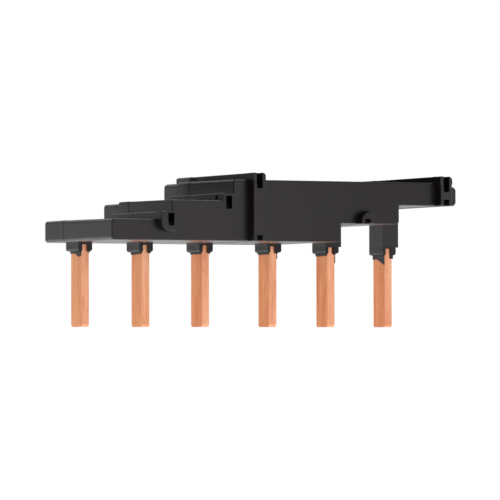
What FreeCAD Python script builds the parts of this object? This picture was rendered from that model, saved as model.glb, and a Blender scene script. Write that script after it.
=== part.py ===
import FreeCAD, Part
import math
import os

from FreeCAD import Vector

os.makedirs("parts", exist_ok=True)

# Comb busbar for two three-pole devices side by side. Millimetres.
# X runs along the pin row, Y runs to the rear and Z runs up. The origin is the
# middle of the pin row, on the plane of the lowest underside of the housing.

# The comb: one copper bar a phase, each with two pins a device pitch apart.
device_pitch = 45.0
pin_pitch = 14.3
phases = 3
blade_thickness = 1.75
blade_width = 5.1
blade_length = 18.0
blade_tip_radius = 0.6
bend_radius = 0.6
bar_run_depth = 17.4
bar_arm_width = 8.0
bar_corner_radius = 1.5

# The stepped housing: one level a phase.
left_margins = (4.73, 5.07, 4.92)
right_margins = (4.8, 4.7, 4.43)
level_bottoms = (0.0, 3.95, 8.0)
level_heights = (4.62, 4.75, 5.15)
floor_thickness = 1.3
front_reach = 25.2
rear_reach = 7.75
front_wall = 1.85
corner_radius = 0.65
rear_left_radii = (0.65, 0.65, 0.8)
front_left_radii = (0.65, 0.15, 0.65)
right_radii = (0.65, 0.65, 0.9)
front_inner_radius = 0.2
rear_inner_radius = 0.0
end_step = 0.85
end_step_cover = 0.3
front_edge_radius = 0.25
rear_edge_radius = 0.4
gate_mark_radius = 0.3
gate_mark_length = 1.0

# The joint between the front and the rear housing, the step in the top of the middle
# level near it, and a mould step on each level.
seam_place = 1.1
top_step_place = 0.05
seam_chamfer = 0.06
mould_step_places = (-1.6, -4.5, -4.5)
mould_step = 0.05
draft = 0.15
rear_drops = (0.02, 0.36, 0.21)
slide_clearance = 0.1

# The collars round the pins, moulded on the copper.
collar_wall = 0.76
collar_end_wall = 0.55
collar_depths = (1.92, 1.98, 1.92, 1.85, 1.95, 2.2)
collar_shifts = (-0.21, -0.15, -0.08, 0.17, 0.03, 0.0)
collar_lips = (0.1, 0.2, 0.2, 0.2, 0.2, 0.77)
collar_lip_thickness = 0.25
collar_edge_radius = 0.45
collar_slot_tops = (0.5, 0.5, 0.45, 0.5, 0.6, 0.75)
collar_slot_share = 0.75
leg_web = 0.6
leg_web_stop = 0.5
sleeve_thickness = 0.22
left_sleeves = (
    (0.5, 0.45, 0.5, 1.15, 0.9),
    (0.5, 0.55, 0.5, 0.45, 0.4),
    (0.45, 0.4, 0.45, 0.4, 0.45),
    (0.4, 0.45, 0.4, 0.45, 0.4),
    (0.55, 0.6, 0.55, 0.5, 0.45),
    (0.9, 0.85, 1.05, 1.6, 2.1),
)
right_sleeves = (
    (0.4, 0.5, 0.45, 0.3, 0.35),
    (0.5, 0.4, 0.45, 0.4, 0.3),
    (0.45, 0.5, 0.4, 0.45, 0.4),
    (0.4, 0.45, 0.5, 1.0, 1.35),
    (0.5, 0.45, 0.7, 1.5, 2.05),
    (0.6, 0.5, 0.55, 0.45, 0.5),
)

# The snap arms of the rear housing and the ribs and bosses that cover them.
rib_width = 2.7
wide_rib_width = 2.9
rib_heights = (1.45, 1.4, 1.22, 1.15)
rib_end_radius = 0.5
rib_nose_places = (-1.7, -0.6)
rib_nose_radius = 6.0
rib_nose_slope = 0.25
rib_edge_radius = 0.25
rib_side_radii = (0.7, 0.7, 0.7, 0.95)
rib_root = 0.6
ribs_to_step = (1.05, 0.85)
rear_rib_step = 0.93
rear_rib_radius = 0.5
rib_pocket_rear = -21.4
rib_pocket_length = 1.4
rib_pocket_height = 0.9
rib_pocket_drop = 0.45
rib_pocket_depth = 0.3
over_pin_shifts = (0.35, 0.6)
boss_reach = 2.2
boss_side_step = 0.95
boss_corner_radius = 2.3
boss_drop = 2.75
boss_root = 0.9
low_boss_height = 2.75
low_arm_place = 18.1
window_width = 1.42
window_corner = 0.3
window_rims = (0.4, 0.6)
window_walls = (0.95, 1.6, 0.95, 0.95)
window_sinks = (1.6, 1.95, 2.05, 2.2)
notch_wall = 0.95
notch_heights = (1.2, 1.0, 1.3)
groove_height = 0.95
arm_width = 1.2
arm_thickness = 0.7
arm_lift = 0.15
arm_headroom = 0.3
arm_root_depth = 1.25
barb_length = 1.4
barb_clearance = 0.1
arm_tip_inset = 1.5
flush_tip_inset = 0.95
cut_overrun = 1.0


def block(x0, x1, y0, y1, z0, z1):
    return Part.makeBox(x1 - x0, y1 - y0, z1 - z0, Vector(x0, y0, z0))


def rounded_wire(corners, place):
    # Each corner is (u, v, radius), and place turns a flat point (u, v) into a vector.
    count = len(corners)
    turns = []
    for i, (u, v, radius) in enumerate(corners):
        here = Vector(u, v, 0)
        before = Vector(*corners[i - 1][:2], 0)
        after = Vector(*corners[(i + 1) % count][:2], 0)
        inward = (here - before).normalize()
        outward = (after - here).normalize()
        half_turn = inward.getAngle(outward) / 2
        reach = radius * math.tan(half_turn)
        bulge = radius / math.cos(half_turn) - radius
        middle = here + (outward - inward).normalize() * bulge
        turns.append((here - inward * reach, middle, here + outward * reach, radius))
    edges = []
    for i, (first, middle, last, radius) in enumerate(turns):
        if radius > 0:
            points = [place(p.x, p.y) for p in (first, middle, last)]
            edges.append(Part.Arc(*points).toShape())
        following = turns[(i + 1) % count][0]
        edges.append(Part.makeLine(place(last.x, last.y), place(following.x, following.y)))
    return Part.Wire(edges)


def same(first, second):
    return abs(first - second) < 1e-6


def edges_between(shape, wanted):
    # The edges whose two end points meet the test.
    found = []
    for edge in shape.Edges:
        if len(edge.Vertexes) == 2 and wanted(edge.Vertexes[0].Point, edge.Vertexes[1].Point):
            found.append(edge)
    return found


def all_levels():
    found = []
    for i in range(phases):
        left_pin = -device_pitch / 2 + (i - (phases - 1) / 2) * pin_pitch
        bottom = level_bottoms[i]
        bar_bottom = bottom + floor_thickness + slide_clearance
        found.append({
            "left_pin": left_pin,
            "right_pin": left_pin + device_pitch,
            "left": left_pin - left_margins[i],
            "right": left_pin + device_pitch + right_margins[i],
            "bottom": bottom,
            "top": bottom + level_heights[i],
            "rear_top": bottom + level_heights[i] - rear_drops[i],
            "bar_bottom": bar_bottom,
            "bar_top": bar_bottom + blade_thickness,
        })
    return found


LEVELS = all_levels()
LOW, MIDDLE, HIGH = LEVELS[0], LEVELS[1], LEVELS[-1]
FRONT = -front_reach
BOSS_FRONT = FRONT - boss_reach
HALF_BLADE = blade_thickness / 2
HALF_WIDTH = blade_width / 2
COLLAR_HALF = HALF_BLADE + collar_wall
FULL_TOPS = [level["top"] for level in LEVELS]
REAR_TOPS = [level["rear_top"] for level in LEVELS]
STEPPED_TOPS = [LOW["top"], MIDDLE["rear_top"], HIGH["top"]]
COLLAR_END = HALF_WIDTH + collar_end_wall


def stair_outline(y, insets, foot_inset, tops, left_radii, inner_radius):
    # The stepped outline of the housing at y. Each level is drawn in by its inset, its foot by
    # the foot inset, and has its own top and top left radius. The inner corners share theirs.
    corners = []
    for i, level in enumerate(LEVELS):
        foot = level["bottom"] + foot_inset
        if i == 0:
            corners.append((level["left"] + insets[i], foot, corner_radius))
        else:
            corners.append((LEVELS[i - 1]["right"] - insets[i - 1], foot, inner_radius))
        corners.append((level["right"] - insets[i], foot, right_radii[i]))
    step_place = UPPER_ARMS[-1]["right"] - end_step_cover
    end_top = tops[-1] - end_step - insets[-1]
    corners.append((HIGH["right"] - insets[-1], end_top, right_radii[-1]))
    corners.append((step_place, end_top, inner_radius))
    corners.append((step_place, tops[-1] - insets[-1], inner_radius))
    for i in reversed(range(phases)):
        left = LEVELS[i]["left"] + insets[i]
        corners.append((left, tops[i] - insets[i], left_radii[i]))
        if i > 0:
            corners.append((left, tops[i - 1] - insets[i - 1], inner_radius))
    return rounded_wire(corners, lambda u, v: Vector(u, y, v))


def stair_loft(sections):
    # Straight skins between outlines, each section with the values of its outline.
    return Part.makeLoft([stair_outline(*section) for section in sections], True, True)


def rim_rounded(shape, y, radius):
    # The outline at y, rounded all the way round.
    rim = edges_between(shape, lambda first, last: same(first.y, y) and same(last.y, y))
    return shape.makeFillet(radius, rim)


def phase_bar(level):
    # A flat strip in front of the pins, with an arm at each end turned down into a pin.
    left = level["left_pin"] - HALF_BLADE
    right = level["right_pin"] + HALF_BLADE
    bottom = level["bar_bottom"]
    top = level["bar_top"]
    bend_outer = bend_radius + blade_thickness
    staple = rounded_wire([
        (left, -blade_length, 0),
        (left + blade_thickness, -blade_length, 0),
        (left + blade_thickness, bottom, bend_radius),
        (right - blade_thickness, bottom, bend_radius),
        (right - blade_thickness, -blade_length, 0),
        (right, -blade_length, 0),
        (right, top, bend_outer),
        (left, top, bend_outer),
    ], lambda u, v: Vector(u, -HALF_WIDTH, v))
    pins = Part.Face(staple).extrude(Vector(0, blade_width, 0))
    tips = edges_between(pins, lambda first, last: same(first.z, -blade_length)
                         and same(last.z, -blade_length) and same(first.y, last.y))
    pins = pins.makeFillet(blade_tip_radius, tips)
    arm_left = left + bend_outer
    arm_right = right - bend_outer
    gap_left = arm_left + bar_arm_width
    gap_right = arm_right - bar_arm_width
    run_front = FRONT + front_wall + slide_clearance
    run_rear = run_front + bar_run_depth
    plan = rounded_wire([
        (arm_left, run_front, bar_corner_radius),
        (arm_right, run_front, bar_corner_radius),
        (arm_right, HALF_WIDTH, 0),
        (gap_right, HALF_WIDTH, 0),
        (gap_right, run_rear, bar_corner_radius),
        (gap_left, run_rear, bar_corner_radius),
        (gap_left, HALF_WIDTH, 0),
        (arm_left, HALF_WIDTH, 0),
    ], lambda u, v: Vector(u, v, bottom))
    strip = Part.Face(plan).extrude(Vector(0, 0, blade_thickness))
    between = block(gap_left, gap_right, -blade_width, blade_width, bottom, top)
    return pins.cut(between).fuse(strip).removeSplitter()


def snap_arms():
    # The four upper arms, a rib over each, and the three lower arms, each in a groove.
    # A and b run beside a step. C and e run over and under a pin, and d under a level.
    over_third = HIGH["left_pin"] + over_pin_shifts[0]
    over_last = HIGH["right_pin"] + over_pin_shifts[1]
    upper = [
        {"middle": MIDDLE["left"] - ribs_to_step[0], "width": rib_width, "level": LOW,
         "nose": rib_nose_places[0], "boss_side": boss_side_step,
         "boss_bottom": LOW["top"] - boss_drop},
        {"middle": HIGH["left"] - ribs_to_step[1], "width": rib_width, "level": MIDDLE,
         "nose": rib_nose_places[1], "boss_side": 0, "boss_bottom": None},
        {"middle": over_third, "width": wide_rib_width, "level": HIGH,
         "nose": None, "boss_side": 0, "boss_bottom": LOW["bottom"]},
        {"middle": over_last, "width": wide_rib_width, "level": HIGH,
         "nose": None, "boss_side": 0, "boss_bottom": HIGH["bottom"]},
    ]
    for i, arm in enumerate(upper):
        arm["left"] = arm["middle"] - arm["width"] / 2
        arm["right"] = arm["middle"] + arm["width"] / 2
        arm["crest"] = arm["level"]["top"] + rib_heights[i]
        arm["sill"] = arm["level"]["top"] - window_sinks[i]
        arm["side_radius"] = rib_side_radii[i]
        arm["head"] = arm["crest"] + cut_overrun
        if i < len(window_rims):
            arm["head"] = arm["crest"] - window_rims[i]
        arm["wall_rear"] = FRONT + window_walls[i]
        arm["front"] = BOSS_FRONT
        if arm["boss_bottom"] is None:
            arm["front"] = FRONT
    lower = [
        {"middle": over_third, "level": LOW, "root": -COLLAR_END},
        {"middle": low_arm_place, "level": MIDDLE, "root": seam_place},
        {"middle": over_last, "level": HIGH, "root": -COLLAR_END},
    ]
    for arm, height in zip(lower, notch_heights):
        arm["notch_top"] = arm["level"]["bottom"] + height
    return upper, lower


UPPER_ARMS, LOWER_ARMS = snap_arms()


def crest_rounded(solid, crest, x, radius):
    edges = edges_between(solid, lambda first, last: same(first.z, crest) and same(last.z, crest)
                          and same(first.x, x) and same(last.x, x))
    return solid.makeFillet(radius, edges)


def step_rib(arm):
    # A rib beside a step. Its crest slopes down to the rear from the nose, past the seam.
    left, crest = arm["left"], arm["crest"]
    top = arm["level"]["top"]
    base = top - rib_root
    foot = arm["nose"] + (crest - top) / rib_nose_slope
    corners = [(arm["front"], base, 0), (arm["front"], crest, 0), (arm["nose"], crest, rib_nose_radius),
               (foot, top, 0), (foot, base, 0)]
    profile = rounded_wire(corners, lambda u, v: Vector(left, u, v))
    solid = Part.Face(profile).extrude(Vector(arm["right"] + rib_root - left, 0, 0))
    return crest_rounded(solid, crest, left, rib_edge_radius)


def split_at_seam(rib):
    # The part of a rib in front of the seam and the part behind it.
    box = rib.BoundBox
    rear = block(box.XMin - cut_overrun, box.XMax + cut_overrun, seam_place, box.YMax + cut_overrun,
                 box.ZMin - cut_overrun, box.ZMax + cut_overrun)
    return rib.cut(rear), rib.common(rear)


def rib_pocket(arm):
    # The small blind pocket in the left side of a rib, near its front.
    top = arm["crest"] - rib_pocket_drop
    return block(arm["left"] - rib_pocket_depth, arm["left"] + rib_pocket_depth,
                 rib_pocket_rear - rib_pocket_length, rib_pocket_rear, top - rib_pocket_height, top)


def pin_rib(arm, left, left_radius, front, rear, rear_radius):
    # A rib over a pin, from front to rear on the top level, its edges and rear corner rounded.
    base = arm["level"]["top"] - rib_root
    crest = arm["crest"]
    corners = [(front, base, 0), (front, crest, 0), (rear, crest, rear_radius), (rear, base, 0)]
    profile = rounded_wire(corners, lambda u, v: Vector(left, u, v))
    solid = Part.Face(profile).extrude(Vector(arm["right"] - left, 0, 0))
    solid = crest_rounded(solid, crest, left, left_radius)
    return crest_rounded(solid, crest, arm["right"], arm["side_radius"])


def boss(left, right, bottom, top, radii):
    # A raised pad on the front face, each corner with its own radius from the lower left round.
    corners = [(left, bottom, radii[0]), (right, bottom, radii[1]),
               (right, top, radii[2]), (left, top, radii[3])]
    profile = rounded_wire(corners, lambda u, v: Vector(u, BOSS_FRONT, v))
    pad = Part.Face(profile).extrude(Vector(0, boss_reach + boss_root, 0))
    return rim_rounded(pad, BOSS_FRONT, rib_edge_radius)


def upper_boss(arm):
    lower_left = boss_corner_radius if arm["boss_side"] else 0
    return boss(arm["left"] - arm["boss_side"], arm["right"], arm["boss_bottom"], arm["crest"],
                (lower_left, 0, arm["side_radius"], 0))


def low_boss():
    arm = LOWER_ARMS[1]
    half = wide_rib_width / 2
    bottom = arm["level"]["bottom"]
    return boss(arm["middle"] - half, arm["middle"] + half, bottom, bottom + low_boss_height,
                (0, 0, 0, boss_corner_radius))


def upper_arm_cuts(arm):
    # The tunnel over a bar slot, and the window in front, open at the top over a pin.
    half = window_width / 2
    wall_rear, sill, head = arm["wall_rear"], arm["sill"], arm["head"]
    bar_top = arm["level"]["bar_top"]
    tunnel = block(arm["middle"] - half, arm["middle"] + half, wall_rear, seam_place,
                   bar_top + slide_clearance, bar_top + arm_lift + arm_thickness + arm_headroom)
    corners = [(arm["middle"] - half, sill, window_corner), (arm["middle"] + half, sill, window_corner),
               (arm["middle"] + half, head, 0), (arm["middle"] - half, head, 0)]
    outline = rounded_wire(corners, lambda u, v: Vector(u, BOSS_FRONT - cut_overrun, v))
    window = Part.Face(outline).extrude(Vector(0, wall_rear - BOSS_FRONT + cut_overrun, 0))
    return [tunnel, window]


def lower_arm_cuts(arm):
    half = window_width / 2
    floor = arm["level"]["bottom"]
    left, right = arm["middle"] - half, arm["middle"] + half
    wall_rear = FRONT + notch_wall
    groove = block(left, right, wall_rear, arm["root"], floor - cut_overrun, floor + groove_height)
    notch = block(left, right, BOSS_FRONT - cut_overrun, wall_rear, floor - cut_overrun,
                  arm["notch_top"])
    return [groove, notch]


def upper_arm(arm):
    # A snap arm over the bar, its barb turned down behind the window sill.
    half = arm_width / 2
    left, right = arm["middle"] - half, arm["middle"] + half
    bottom = arm["level"]["bar_top"] + arm_lift
    tip = arm["front"] + (flush_tip_inset if arm["front"] == FRONT else arm_tip_inset)
    barb_rear = min(tip + barb_length, arm["wall_rear"] - barb_clearance)
    beam = block(left, right, tip, seam_place + arm_root_depth, bottom, bottom + arm_thickness)
    barb = block(left, right, tip, barb_rear, arm["sill"] + barb_clearance, bottom)
    return beam.fuse(barb)


def lower_arm(arm):
    # A snap arm in its groove, its barb turned up behind the head of the notch.
    half = arm_width / 2
    left, right = arm["middle"] - half, arm["middle"] + half
    bottom = arm["level"]["bottom"] + arm_lift
    tip = BOSS_FRONT + arm_tip_inset
    barb_rear = FRONT + notch_wall - barb_clearance
    beam = block(left, right, tip, arm["root"] + collar_end_wall / 2, bottom, bottom + arm_thickness)
    barb = block(left, right, tip, barb_rear, bottom + arm_thickness / 2, arm["notch_top"] - barb_clearance)
    return beam.fuse(barb)


def all_pins():
    # Every pin with the level of its bar and its collar, from left to right.
    found = [{"x": level["left_pin"], "level": level} for level in LEVELS]
    found += [{"x": level["right_pin"], "level": level} for level in LEVELS]
    for i, pin in enumerate(found):
        pin["collar_left"] = pin["x"] + collar_shifts[i] - COLLAR_HALF
        pin["collar_right"] = pin["x"] + collar_shifts[i] + COLLAR_HALF
        pin["collar_foot"] = -collar_depths[i]
        pin["lip_foot"] = -collar_depths[i] - collar_lips[i]
        pin["slot_top"] = -collar_slot_tops[i]
        pin["left_sleeve"] = left_sleeves[i]
        pin["right_sleeve"] = right_sleeves[i]
    return found


PINS = all_pins()


def collar(pin):
    # The sleeve of housing round a pin, from the bar down past the underside.
    left, right, foot = pin["collar_left"], pin["collar_right"], pin["collar_foot"]
    leg = block(left, right, -COLLAR_END, COLLAR_END, foot, pin["level"]["bar_bottom"])
    rim = edges_between(leg, lambda first, last: same(first.z, foot) and same(last.z, foot))
    leg = leg.makeFillet(collar_edge_radius, rim)
    if pin["level"]["bottom"] > 0 and pin["x"] > LOW["right"]:
        web = block(right, right + leg_web, -COLLAR_END, COLLAR_END, -leg_web_stop,
                    pin["level"]["bottom"])
        leg = leg.fuse(web)
    slot_right = pin["x"] - HALF_BLADE + collar_slot_share * blade_thickness
    lip = block(slot_right, pin["x"] + HALF_BLADE + sleeve_thickness, -HALF_WIDTH - collar_lip_thickness,
                -HALF_WIDTH + collar_lip_thickness, pin["lip_foot"], foot + collar_edge_radius)
    slot = block(pin["x"] - HALF_BLADE, slot_right, -COLLAR_END, 0, foot, pin["slot_top"])
    return leg.fuse(lip).cut(slot)


def sleeve(pin, side):
    # The thin flash left on a broad face of a pin. Its lower edge is uneven, from rear to front.
    inner = pin["x"] + side * HALF_BLADE
    lengths = pin["right_sleeve"] if side > 0 else pin["left_sleeve"]
    step = blade_width / (len(lengths) - 1)
    foot = [Vector(inner, HALF_WIDTH - step * i, pin["collar_foot"] - length)
            for i, length in enumerate(lengths)]
    top = pin["collar_foot"] + collar_edge_radius
    points = [Vector(inner, HALF_WIDTH, top)] + foot + [Vector(inner, -HALF_WIDTH, top)]
    outline = Part.makePolygon(points + [points[0]])
    return Part.Face(outline).extrude(Vector(side * sleeve_thickness, 0, 0))


def gate_mark():
    # The stub left by the mould gate, at the lower right corner of the middle level.
    place = Vector(MIDDLE["right"] - corner_radius / 2, FRONT + gate_mark_length,
                   MIDDLE["bottom"] + corner_radius / 2)
    return Part.makeCylinder(gate_mark_radius, gate_mark_length, place, Vector(0, 1, 0))


def front_housing():
    flush = [0] * phases
    stepped = (STEPPED_TOPS, rear_left_radii, front_inner_radius)
    full = (FULL_TOPS, front_left_radii, front_inner_radius)
    sections = [(seam_place, [seam_chamfer] * phases, seam_chamfer, *stepped),
                (seam_place - seam_chamfer, flush, 0, *stepped),
                (top_step_place, flush, 0, *stepped),
                (top_step_place - mould_step, flush, 0, *full)]
    for place in sorted(set(mould_step_places), reverse=True):
        before = [mould_step if first > place else 0 for first in mould_step_places]
        after = [mould_step if first >= place else 0 for first in mould_step_places]
        sections += [(place, before, 0, *full), (place - mould_step, after, 0, *full)]
    sections.append((FRONT, [mould_step + draft] * phases, 0, *full))
    body = rim_rounded(stair_loft(sections), FRONT, front_edge_radius)
    added = [low_boss(), gate_mark()]
    for arm in UPPER_ARMS:
        if arm["nose"] is None:
            added.append(pin_rib(arm, arm["left"], rib_edge_radius, arm["front"], seam_place, 0))
        else:
            added.append(split_at_seam(step_rib(arm))[0])
        if arm["front"] == BOSS_FRONT:
            added.append(upper_boss(arm))
    body = body.fuse(added)
    cuts = [rib_pocket(UPPER_ARMS[1])]
    for level in LEVELS:
        cuts.append(block(level["left_pin"] - HALF_BLADE - slide_clearance,
                          level["right_pin"] + HALF_BLADE + slide_clearance,
                          FRONT + front_wall, seam_place,
                          level["bar_bottom"] - slide_clearance, level["bar_top"] + slide_clearance))
    for pin in PINS:
        cuts.append(block(pin["collar_left"] - slide_clearance, pin["collar_right"] + slide_clearance,
                          -COLLAR_END - slide_clearance, seam_place,
                          pin["collar_foot"], pin["level"]["bar_bottom"]))
    for arm in UPPER_ARMS:
        cuts += upper_arm_cuts(arm)
    for arm in LOWER_ARMS:
        cuts += lower_arm_cuts(arm)
    return body.cut(cuts).removeSplitter()


def rear_housing(bars):
    flush = [0] * phases
    shape = (REAR_TOPS, rear_left_radii, rear_inner_radius)
    sections = [(seam_place, [seam_chamfer] * phases, seam_chamfer, *shape),
                (seam_place + seam_chamfer, flush, 0, *shape), (rear_reach, flush, 0, *shape)]
    body = rim_rounded(stair_loft(sections), rear_reach, rear_edge_radius)
    added = []
    for arm in UPPER_ARMS:
        if arm["nose"] is None:
            added.append(pin_rib(arm, arm["left"] - rear_rib_step, rear_rib_radius, seam_place,
                                 rear_reach, rib_end_radius))
        else:
            added.append(split_at_seam(step_rib(arm))[1])
    for pin in PINS:
        added.append(collar(pin))
        added += [sleeve(pin, side) for side in (-1, 1)]
    added += [upper_arm(arm) for arm in UPPER_ARMS]
    added += [lower_arm(arm) for arm in LOWER_ARMS]
    return body.fuse(added).cut(bars).removeSplitter()


def write(name, shape):
    print(name, "valid", shape.isValid(), "solids", len(shape.Solids), "volume", round(shape.Volume, 1))
    shape.exportStep("parts/%s.step" % name)


bars = [phase_bar(level) for level in LEVELS]
for number, bar in enumerate(bars, start=1):
    write("phase_bar_%d" % number, bar)
write("front_housing", front_housing())
write("rear_housing", rear_housing(bars))
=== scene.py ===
import math

import bpy
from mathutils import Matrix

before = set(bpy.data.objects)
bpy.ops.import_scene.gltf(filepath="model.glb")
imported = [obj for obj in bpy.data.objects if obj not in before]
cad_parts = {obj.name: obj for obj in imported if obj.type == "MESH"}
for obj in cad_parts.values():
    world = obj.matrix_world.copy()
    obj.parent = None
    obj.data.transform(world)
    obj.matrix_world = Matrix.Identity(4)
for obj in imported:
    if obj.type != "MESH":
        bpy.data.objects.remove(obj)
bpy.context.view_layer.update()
scene = bpy.context.scene
scene.view_settings.view_transform = "Standard"
bpy.ops.object.select_all(action="DESELECT")
print("frame loaded:", ", ".join(sorted(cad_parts)))

offToOn = (0.0, 1.0)
everyWay = (-1, 1)  # all that a cosine can be


def addNode(tree, kind, spot=(0, 0), **settings):
    node = tree.nodes.new(kind)
    node.location = spot
    for key, value in settings.items():
        setattr(node, key, value)
    return node


def feed(tree, socket, value):
    # A number, a tuple or another node's output goes into a socket.
    if isinstance(value, (int, float, tuple)):
        socket.default_value = value
    else:
        tree.links.new(value, socket)


def startGroup(name, inputs, outputs):
    group = bpy.data.node_groups.new(name, "ShaderNodeTree")
    for label, kind, value in inputs:
        socket = group.interface.new_socket(name=label, in_out="INPUT", socket_type=kind)
        socket.default_value = value
    for label, kind in outputs:
        group.interface.new_socket(name=label, in_out="OUTPUT", socket_type=kind)
    given = addNode(group, "NodeGroupInput", (-1200, 0))
    made = addNode(group, "NodeGroupOutput", (1200, 0))
    return group, given, made


def useGroup(tree, group, spot, values):
    node = addNode(tree, "ShaderNodeGroup", spot, node_tree=group)
    for label, value in values.items():
        feed(tree, node.inputs[label], value)
    return node


def mathNode(tree, operation, spot, *values, clamp=False):
    node = addNode(tree, "ShaderNodeMath", spot, operation=operation, use_clamp=clamp)
    for socket, value in zip(node.inputs, values):
        feed(tree, socket, value)
    return node.outputs[0]


def vectorNode(tree, operation, spot, *values):
    node = addNode(tree, "ShaderNodeVectorMath", spot, operation=operation)
    for socket, value in zip(node.inputs, values):
        feed(tree, socket, value)
    return node.outputs["Value"] if operation == "DOT_PRODUCT" else node.outputs["Vector"]


def axesOf(tree, source, spot):
    node = addNode(tree, "ShaderNodeSeparateXYZ", spot)
    feed(tree, node.inputs[0], source)
    return node.outputs


def rangeNode(tree, source, spot, fromRange, toRange, smooth=False):
    node = addNode(tree, "ShaderNodeMapRange", spot)
    if smooth:
        node.interpolation_type = "SMOOTHSTEP"
    labels = ("Value", "From Min", "From Max", "To Min", "To Max")
    for label, value in zip(labels, (source, *fromRange, *toRange)):
        feed(tree, node.inputs[label], value)
    return node.outputs["Result"]


def mixColour(tree, share, first, second, spot):
    node = addNode(tree, "ShaderNodeMix", spot, data_type="RGBA")
    for place, value in ((0, share), (6, first), (7, second)):  # the colour inputs are 6 and 7
        feed(tree, node.inputs[place], value)
    return node.outputs[2]


cameraView = {
    "place": (-0.44699, -0.87432, -0.02267),
    "turn": (91.246, 0.082, -27.281),
    "lens": 326.3,
    "sensor": 36.0,
    "near": 0.01,
    "far": 50.0,
}


def makeCamera(view):
    turn = [math.radians(angle) for angle in view["turn"]]
    bpy.ops.object.camera_add(location=view["place"], rotation=turn)
    camera = bpy.context.object
    camera.name = "camera"
    camera.data.lens = view["lens"]
    camera.data.sensor_width = view["sensor"]
    camera.data.clip_start = view["near"]
    camera.data.clip_end = view["far"]
    scene.camera = camera


makeCamera(cameraView)
print("camera placed")


# What the glossy surfaces see: a white table low down, a room that is dark behind the rear
# left and bright before the front right, a pale ceiling, and flags. Each pair of shades ends
# with the one toward brightWay. A flag is its way, the range of the cosine to it, and how
# much light it takes.
surroundings = {
    "brightWay": (0.458, -0.889, 0.0),
    "table": (1.51, 1.40),
    "room": (0.08, 1.00),
    "ceiling": (1.10, 0.25),
    "ceilingSides": (-0.8, 0.1),
    "tableToRoom": (-0.06, 0.09),
    "roomToCeiling": (0.14, 0.42),
    "flags": (
        ((-0.889, -0.458, 0.0), (0.80, 0.97), 0.95),
        ((0.458, 0.889, 0.0), (0.75, 0.97), 0.34),
    ),
}


def makeSurroundings(values):
    group, given, made = startGroup("surroundings", [("Way", "NodeSocketVector", (0, 0, 1))],
                                    [("Light", "NodeSocketFloat")])
    way = vectorNode(group, "NORMALIZE", (-1000, 0), given.outputs["Way"])
    height = axesOf(group, way, (-800, 200))["Z"]
    side = vectorNode(group, "DOT_PRODUCT", (-800, 0), way, values["brightWay"])
    table = rangeNode(group, side, (-500, 200), everyWay, values["table"])
    room = rangeNode(group, side, (-500, -100), everyWay, values["room"])
    ceiling = rangeNode(group, side, (-500, -400), values["ceilingSides"], values["ceiling"])
    light = rangeNode(group, height, (-200, 100), values["tableToRoom"], (table, room), smooth=True)
    light = rangeNode(group, height, (0, 100), values["roomToCeiling"], (light, ceiling), smooth=True)
    for flagWay, flagRange, shade in values["flags"]:
        flag = vectorNode(group, "DOT_PRODUCT", (-800, -300), way, flagWay)
        kept = rangeNode(group, flag, (-200, -300), flagRange, (1.0, 1.0 - shade), smooth=True)
        light = mathNode(group, "MULTIPLY", (300, 0), light, kept)
    feed(group, made.inputs["Light"], light)
    return group


def makeWorld(group):
    # The camera sees white at least, and the surfaces see the surroundings.
    world = bpy.data.worlds.new("studio surroundings")
    scene.world = world
    world.use_nodes = True
    tree = world.node_tree
    tree.nodes.clear()
    output = addNode(tree, "ShaderNodeOutputWorld", (800, 0))
    background = addNode(tree, "ShaderNodeBackground", (600, 0))
    background.inputs["Color"].default_value = (1.0, 1.0, 1.0, 1.0)
    place = addNode(tree, "ShaderNodeTexCoord", (-800, 0))
    seen = useGroup(tree, group, (-300, 0), {"Way": place.outputs["Generated"]})
    path = addNode(tree, "ShaderNodeLightPath", (-300, 300))
    light = mathNode(tree, "MAXIMUM", (200, 0), path.outputs["Is Camera Ray"], seen.outputs["Light"])
    feed(tree, background.inputs["Strength"], light)
    feed(tree, output.inputs["Surface"], background.outputs[0])


studio = {
    "floorLevel": -0.13,
    "floorRadius": 2.0,
    "floorSides": 96,
    "floorColour": (0.86, 0.86, 0.86, 1.0),
    "floorLift": 0.5,
    "lampPlace": (0.62, -0.12, 1.15),
    "lampSize": 0.55,
    "lampPower": 7.0,
}


def makeFloor(values, group):
    bpy.ops.mesh.primitive_circle_add(vertices=values["floorSides"], radius=values["floorRadius"],
                                      fill_type="NGON", location=(0, 0, values["floorLevel"]))
    floor = bpy.context.object
    floor.name = "floor"
    bpy.ops.object.transform_apply(location=True)
    floor.data.materials.append(makeFloorFinish(values, group))


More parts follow.
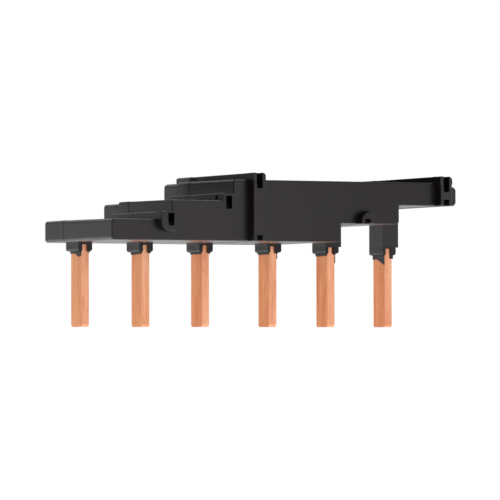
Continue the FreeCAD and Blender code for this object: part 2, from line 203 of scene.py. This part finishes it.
def makeFloorFinish(values, group):
    # Pale where it is looked at, and the surroundings where it is mirrored.
    material = bpy.data.materials.new("pale floor")
    material.use_nodes = True
    tree = material.node_tree
    tree.nodes.clear()
    output = addNode(tree, "ShaderNodeOutputMaterial", (900, 0))
    path = addNode(tree, "ShaderNodeLightPath", (-500, 0))
    diffuse = addNode(tree, "ShaderNodeBsdfDiffuse", (0, 200))
    diffuse.inputs["Color"].default_value = values["floorColour"]
    lift = addNode(tree, "ShaderNodeEmission", (0, 0))
    feed(tree, lift.inputs["Strength"],
         mathNode(tree, "MULTIPLY", (-200, 0), path.outputs["Is Camera Ray"], values["floorLift"]))
    pale = addNode(tree, "ShaderNodeAddShader", (300, 100))
    feed(tree, pale.inputs[0], diffuse.outputs[0])
    feed(tree, pale.inputs[1], lift.outputs[0])
    place = addNode(tree, "ShaderNodeTexCoord", (-800, -300))
    seen = useGroup(tree, group, (-500, -300), {"Way": place.outputs["Object"]})
    glow = addNode(tree, "ShaderNodeEmission", (0, -300))
    feed(tree, glow.inputs["Strength"], seen.outputs["Light"])
    mirrored = mathNode(tree, "MAXIMUM", (300, -100), path.outputs["Is Glossy Ray"],
                        path.outputs["Is Transmission Ray"])
    both = addNode(tree, "ShaderNodeMixShader", (600, 0))
    feed(tree, both.inputs[0], mirrored)
    feed(tree, both.inputs[1], pale.outputs[0])
    feed(tree, both.inputs[2], glow.outputs[0])
    feed(tree, output.inputs["Surface"], both.outputs[0])
    return material


def makeLamp(values):
    bpy.ops.object.light_add(type="AREA", location=values["lampPlace"])
    lamp = bpy.context.object
    lamp.name = "soft lamp"
    lamp.data.shape = "SQUARE"
    lamp.data.size = values["lampSize"]
    lamp.data.energy = values["lampPower"]
    aim = -lamp.location
    lamp.rotation_euler = aim.to_track_quat("-Z", "Y").to_euler()


surroundingsGroup = makeSurroundings(surroundings)
makeWorld(surroundingsGroup)
makeFloor(studio, surroundingsGroup)
makeLamp(studio)
print("studio lit")


grainPattern = {
    "grainDetail": 2.0,
    "grainRoughness": 0.6,
    "cloudDetail": 3.0,
    "spread": (0.3, 0.7),  # the noise between these becomes a mask from 0 to 1
    "grains": 4000.0,
    "clouds": 90.0,
}


def makeGrainGroup(pattern):
    # A mask of fine grain, one of soft clouds, and a height for bump.
    group, given, made = startGroup("fineGrain", [
        ("Vector", "NodeSocketVector", (0, 0, 0)),
        ("Stretch", "NodeSocketVector", (1, 1, 1)),
        ("Grains per metre", "NodeSocketFloat", pattern["grains"]),
        ("Clouds per metre", "NodeSocketFloat", pattern["clouds"]),
    ], [("Grain", "NodeSocketFloat"), ("Clouds", "NodeSocketFloat"), ("Height", "NodeSocketFloat")])
    place = vectorNode(group, "MULTIPLY", (-900, 0), given.outputs["Vector"], given.outputs["Stretch"])
    fine = addNode(group, "ShaderNodeTexNoise", (-500, 200))
    fine.inputs["Detail"].default_value = pattern["grainDetail"]
    fine.inputs["Roughness"].default_value = pattern["grainRoughness"]
    clouds = addNode(group, "ShaderNodeTexNoise", (-500, -200))
    clouds.inputs["Detail"].default_value = pattern["cloudDetail"]
    for noise, scale, mask, level in ((fine, "Grains per metre", "Grain", 200),
                                      (clouds, "Clouds per metre", "Clouds", -200)):
        feed(group, noise.inputs["Vector"], place)
        feed(group, noise.inputs["Scale"], given.outputs[scale])
        feed(group, made.inputs[mask],
             rangeNode(group, noise.outputs["Fac"], (-200, level), pattern["spread"], offToOn))
    feed(group, made.inputs["Height"], fine.outputs["Fac"])
    return group


grainGroup = makeGrainGroup(grainPattern)


def startFinish(name, finish):
    # What the plastic and the copper have in common: grain, roughness and bump. The share
    # says how much of the lighter colour shows.
    material = bpy.data.materials.new(name)
    material.use_nodes = True
    tree = material.node_tree
    shader = tree.nodes["Principled BSDF"]
    place = addNode(tree, "ShaderNodeTexCoord", (-1500, 0))
    grain = useGroup(tree, grainGroup, (-1200, 0), {
        "Vector": place.outputs["Object"], "Stretch": finish["stretch"],
        "Grains per metre": finish["grains"], "Clouds per metre": finish["clouds"]})
    cloudPart = mathNode(tree, "MULTIPLY", (-1000, 100), grain.outputs["Clouds"], finish["cloudShare"])
    share = mathNode(tree, "MULTIPLY_ADD", (-900, 200), grain.outputs["Grain"], finish["grainShare"],
                     cloudPart)
    feed(tree, shader.inputs["Roughness"],
         rangeNode(tree, grain.outputs["Clouds"], (-600, 0), offToOn, finish["roughness"]))
    bump = addNode(tree, "ShaderNodeBump", (-400, -400))
    bump.inputs["Strength"].default_value = finish["bump"]
    bump.inputs["Distance"].default_value = finish["bumpDepth"]
    feed(tree, bump.inputs["Height"], grain.outputs["Height"])
    feed(tree, shader.inputs["Normal"], bump.outputs["Normal"])
    return material, tree, shader, place, share


# A painted shade takes its amount off the sheen, where all of its ranges run from off to on. Places
# are in metres, and a normal is 1 where the surface faces along its axis.
towardLeft = ("normalX", (-0.3, -0.8))
awayFromLeft = ("normalX", (-0.8, -0.3))
towardFloor = ("normalZ", (-0.3, -0.8))
alongRow = ("placeX", (-0.020, 0.020))
beforeEndPiece = ("placeX", (0.0358, 0.0345))
collarTop = (-0.0001, -0.0006)

plasticFinish = {
    "dark": (0.0042, 0.0028, 0.0038, 1.0),
    "light": (0.0118, 0.0084, 0.0108, 1.0),
    "grainShare": 0.5,
    "cloudShare": 0.5,
    "collarTint": (0.0070, 0.0125, 0.0180, 1.0),
    "collarTop": collarTop,
    "stretch": (1.0, 1.0, 1.0),
    "grains": 2800.0,
    "clouds": 260.0,
    "roughness": (0.30, 0.38),
    "shine": 0.485,
    "shineTint": (1.0, 0.955, 0.985, 1.0),
    "bump": 0.20,
    "bumpDepth": 0.00002,
    # Painted shade: each entry dulls the sheen at one place.
    "paintedShades": {
        "left walls": (0.78, (towardLeft, ("placeY", (0.003, -0.004)), ("placeZ", (0.004, 0.0115)))),
        "fronts": (0.22, (awayFromLeft, alongRow, beforeEndPiece)),
        "top edges": (0.70, (("normalZ", (0.15, 0.60)), ("normalZ", (0.99, 0.90)), alongRow,
                             beforeEndPiece)),
        "feet": (0.90, (towardFloor, ("placeZ", (-0.0013, -0.0017)))),
        "collars": (0.22, (("placeZ", collarTop),)),
        "last rib": (0.90, (towardLeft, ("placeX", (0.030, 0.034)), ("placeZ", (0.0124, 0.0131)))),
        "low underside": (0.50, (towardFloor, ("placeX", (-0.009, -0.003)),
                                 ("placeZ", (0.0020, 0.0010)))),
    },
    # Painted shade in a box behind the second window, on the snap arm's tip.
    "recess": (-0.01397, -0.02385, 0.00815),
    "recessHalf": (0.00076, 0.00105, 0.00145),
    "recessPaintedShade": 0.90,
    # Painted light in a box at a corner of the third rib's rear block.
    "nook": (-0.00970, 0.00074, 0.01380),
    "nookHalf": (0.00045, 0.00050, 0.00070),
    "nookPaintedLight": (0.080, 0.075, 0.080, 1.0),
}


def insideBox(tree, place, centre, half, level):
    # A mask that is 1 inside a box.
    away = vectorNode(tree, "SUBTRACT", (-900, level), place.outputs["Object"], centre)
    away = vectorNode(tree, "ABSOLUTE", (-700, level), away)
    away = vectorNode(tree, "SUBTRACT", (-500, level), away, half)
    outside = axesOf(tree, away, (-300, level))
    furthest = mathNode(tree, "MAXIMUM", (-100, level), outside["X"], outside["Y"])
    furthest = mathNode(tree, "MAXIMUM", (100, level), furthest, outside["Z"])
    return mathNode(tree, "LESS_THAN", (300, level), furthest, 0.0)


def keepSheen(tree, spot, sheen, share, shadeAmount):
    kept = mathNode(tree, "MULTIPLY_ADD", spot, share, -shadeAmount, 1.0)
    return mathNode(tree, "MULTIPLY", (spot[0] + 200, spot[1]), sheen, kept)


def paintShadeOnSheen(tree, place, spots, finish):
    # Painted shade: the sheen is dulled by place, which surroundings that are far away can't
    # give. The snap arm's tip that lies flush behind its window gets painted shade too, as it
    # would show light there.
    normals = axesOf(tree, place.outputs["Normal"], (-1200, -600))
    sources = {"placeX": spots["X"], "placeY": spots["Y"], "placeZ": spots["Z"],
               "normalX": normals["X"], "normalZ": normals["Z"]}
    sheen = finish["shine"]
    level = -600
    for shadeAmount, ranges in finish["paintedShades"].values():
        share = 1.0
        for source, span in ranges:
            reached = rangeNode(tree, sources[source], (-900, level), span, offToOn)
            share = mathNode(tree, "MULTIPLY", (-700, level), share, reached)
            level -= 200
        sheen = keepSheen(tree, (-500, level), sheen, share, shadeAmount)
    recess = insideBox(tree, place, finish["recess"], finish["recessHalf"], level - 200)
    return keepSheen(tree, (500, level), sheen, recess, finish["recessPaintedShade"])


def makePlastic(name, finish):
    material, tree, shader, place, share = startFinish(name, finish)
    spots = axesOf(tree, place.outputs["Object"], (-1200, -300))
    colour = mixColour(tree, share, finish["dark"], finish["light"], (-600, 200))
    low = rangeNode(tree, spots["Z"], (-900, -300), finish["collarTop"], offToOn)
    tinted = mathNode(tree, "MULTIPLY", (-600, -200), low, share)
    colour = mixColour(tree, tinted, colour, finish["collarTint"], (-300, 200))
    # Painted light: a corner of the third rib's rear block is given a grey colour, as it would show as
    # a black spot.
    nook = insideBox(tree, place, finish["nook"], finish["nookHalf"], 400)
    colour = mixColour(tree, nook, colour, finish["nookPaintedLight"], (-100, 200))
    feed(tree, shader.inputs["Base Color"], colour)
    shader.inputs["Specular Tint"].default_value = finish["shineTint"]
    # The sheen carries the painted shade.
    feed(tree, shader.inputs["Specular IOR Level"], paintShadeOnSheen(tree, place, spots, finish))
    return material


# The pins' broad faces are the sheet's own and the narrow ones are cut. Painted light makes the
# left pins lighter.
copperFinish = {
    "broadDark": (0.72, 0.20, 0.075, 1.0),
    "broadLight": (1.0, 0.48, 0.225, 1.0),
    "cutDark": (0.62, 0.22, 0.11, 1.0),
    "cutLight": (0.98, 0.52, 0.32, 1.0),
    "cutFacing": (0.3, 0.8),
    "grainShare": 0.4,
    "cloudShare": 0.6,
    "paintedLightSpan": (-0.035, -0.012),
    "paintedLightAmount": (0.22, -0.08),
    "stretch": (1.0, 1.0, 0.10),
    "grains": 2600.0,
    "clouds": 700.0,
    "roughness": (0.30, 0.46),
    "bump": 0.30,
    "bumpDepth": 0.00003,
}


def makeCopper(name, finish):
    material, tree, shader, place, share = startFinish(name, finish)
    shader.inputs["Metallic"].default_value = 1.0
    along = axesOf(tree, place.outputs["Object"], (-1200, 400))["X"]
    # Painted light: the pins are lighter toward the left.
    paintedLightAmount = rangeNode(tree, along, (-1000, 400), finish["paintedLightSpan"], finish["paintedLightAmount"])
    broadShare = mathNode(tree, "ADD", (-800, 400), share, paintedLightAmount, clamp=True)
    broad = mixColour(tree, broadShare, finish["broadDark"], finish["broadLight"], (-600, 300))
    cut = mixColour(tree, share, finish["cutDark"], finish["cutLight"], (-600, 100))
    frontOrRear = axesOf(tree, place.outputs["Normal"], (-1200, -300))["Y"]
    facing = mathNode(tree, "ABSOLUTE", (-900, -300), frontOrRear)
    cutShare = rangeNode(tree, facing, (-600, -200), finish["cutFacing"], offToOn, smooth=True)
    feed(tree, shader.inputs["Base Color"], mixColour(tree, cutShare, broad, cut, (-300, 200)))
    return material


def dress(node, material):
    # The CAD node keeps its mesh and takes this material in every slot.
    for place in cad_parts[node].material_slots:
        place.material = material


housingPlastic = makePlastic("housing plastic", plasticFinish)
barCopper = makeCopper("bar copper", copperFinish)
for nodeName in ("front_housing", "rear_housing"):
    dress(nodeName, housingPlastic)
for nodeName in ("phase_bar_1", "phase_bar_2", "phase_bar_3"):
    dress(nodeName, barCopper)
print("finishes made")
